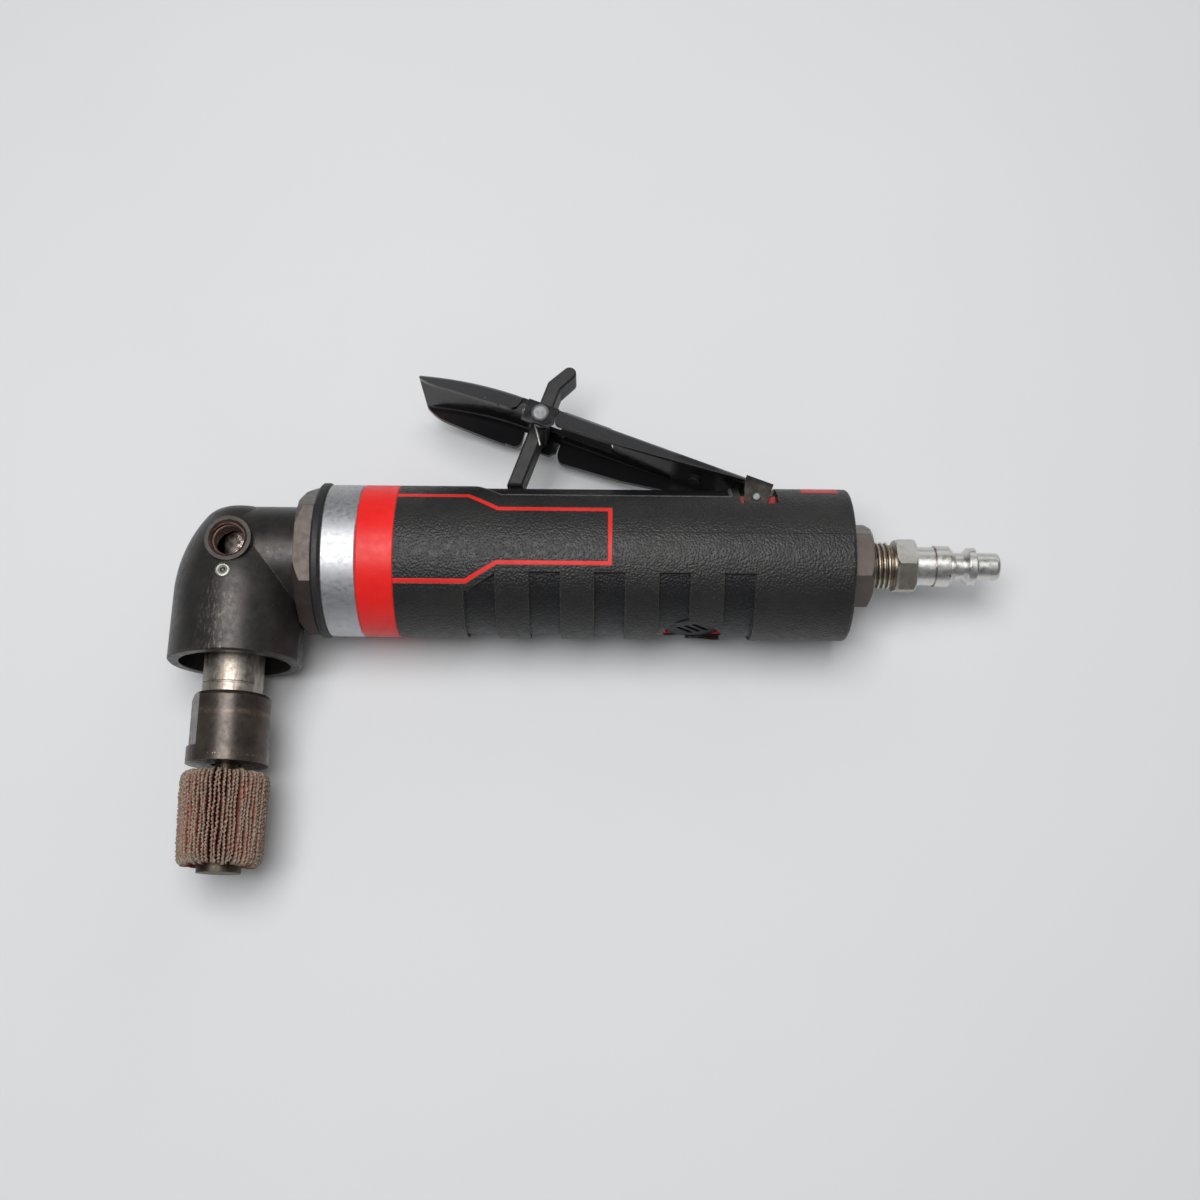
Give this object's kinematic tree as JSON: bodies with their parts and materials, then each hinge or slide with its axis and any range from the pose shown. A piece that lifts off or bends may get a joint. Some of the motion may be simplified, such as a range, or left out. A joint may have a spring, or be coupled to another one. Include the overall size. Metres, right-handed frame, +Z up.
{
  "type": "right angle die grinder",
  "caption": "Right-angle air die grinder: round grip with hinged throttle lever and lock, angle head with bevel gears, collet and flap wheel, and a push-in air plug.",
  "frame": {"origin": "on the table under the middle of the tool's outline, which lies on its side", "axes": "+X along the motor axis from the angle head to the air inlet, +Y to the throttle lever with the wheel towards -Y, +Z up from the table"},
  "size_m": [0.234, 0.147, 0.0442],
  "materials": {
    "head_steel": "black oxide",
    "nut_steel": "browned black oxide",
    "inlet_steel": "black",
    "zinc": "zinc plated, stained",
    "bright_pin": "bright",
    "spindle_steel": "turned, stained",
    "gear_steel": "hardened",
    "bearing_steel": "ground",
    "motor_steel": "ground",
    "spring_steel": "wire",
    "case_aluminium": "satin",
    "red_plastic": "satin red",
    "grip_black": "textured black",
    "diffuser_black": "black",
    "vane_resin": "laminated resin",
    "seal_rubber": "black",
    "lever_black": "gloss black",
    "lock_grey": "dark grey",
    "valve_brass": "turned",
    "flap_cloth": "worn abrasive cloth"
  },
  "bodies": {
    "housing": {"angle_head": "head_steel", "grease_fitting": "bright_pin", "clamp_nut": "nut_steel", "nut_gasket": "seal_rubber", "split_ring": "motor_steel", "motor_case": "case_aluminium", "front_end_plate": "motor_steel", "rear_end_plate": "motor_steel", "cylinder_liner": "motor_steel", "liner_dowel": "motor_steel", "front_bearing_outer": "bearing_steel", "rear_bearing_outer": "bearing_steel", "pinion_front_outer": "bearing_steel", "pinion_rear_outer": "bearing_steel", "pinion_spacer": "motor_steel", "pinion_retainer": "motor_steel", "upper_bearing_outer": "bearing_steel", "lower_bearing_outer": "bearing_steel", "bearing_retainer": "nut_steel", "housing_core": "red_plastic", "panel_stripe": "red_plastic", "grip_sleeve": "grip_black", "exhaust_diffuser": "diffuser_black", "valve_bushing": "valve_brass", "stem_seal": "seal_rubber", "valve_spring": "spring_steel", "lever_pin": "bright_pin", "inlet_bushing": "inlet_steel", "inlet_screen": "motor_steel", "air_plug": "zinc"},
    "spindle": {"spindle": "spindle_steel", "bevel_gear": "gear_steel", "upper_bearing_inner": "bearing_steel", "lower_bearing_inner": "bearing_steel", "collet": "spindle_steel", "collet_nut": "nut_steel", "wheel_hub": "spindle_steel", "flap_pack": "flap_cloth"},
    "rotor": {"rotor": "motor_steel", "rotor_vanes": "vane_resin", "front_bearing_inner": "bearing_steel", "rear_bearing_inner": "bearing_steel", "bevel_pinion": "gear_steel", "pinion_front_inner": "bearing_steel", "pinion_rear_inner": "bearing_steel"},
    "lever": {"throttle_lever": "lever_black", "lock_rivet": "bright_pin"},
    "lock": {"lock_lever": "lock_grey", "lock_spring": "spring_steel"},
    "plunger": {"valve_plunger": "valve_brass", "valve_seal": "seal_rubber"}
  },
  "joints": [
    {"name": "spindle_spin", "type": "hinge", "parent": "housing", "child": "spindle", "pos_m": [-0.09865, 0.01467, 0.0221], "axis": [0, 1, 0], "continuous": true},
    {"name": "rotor_spin", "type": "hinge", "parent": "housing", "child": "rotor", "pos_m": [-0.09865, 0.01467, 0.0221], "axis": [1, 0, 0], "continuous": true},
    {"name": "lever_pivot", "type": "hinge", "parent": "housing", "child": "lever", "pos_m": [0.04695, 0.03077, 0.0221], "axis": [0, 0, 1], "range_deg": [0, 10], "stiffness_Nm_per_rad": 0.4},
    {"name": "lock_pivot", "type": "hinge", "parent": "lever", "child": "lock", "pos_m": [-0.01419, 0.05541, 0.0221], "axis": [0, 0, 1], "range_deg": [-80, 0]},
    {"name": "plunger_slide", "type": "slide", "parent": "housing", "child": "plunger", "axis": [0, -1, 0], "range_m": [0, 0.0008], "deforming": ["valve_spring"]}
  ],
  "couplings": [
    {"joint": "rotor_spin", "follows": "spindle_spin", "ratio": 1.3333},
    {"joint": "lock_pivot", "follows": "lever_pivot", "ratio": -8},
    {"joint": "plunger_slide", "follows": "lever_pivot", "m_per_rad": 0.00458}
  ]
}
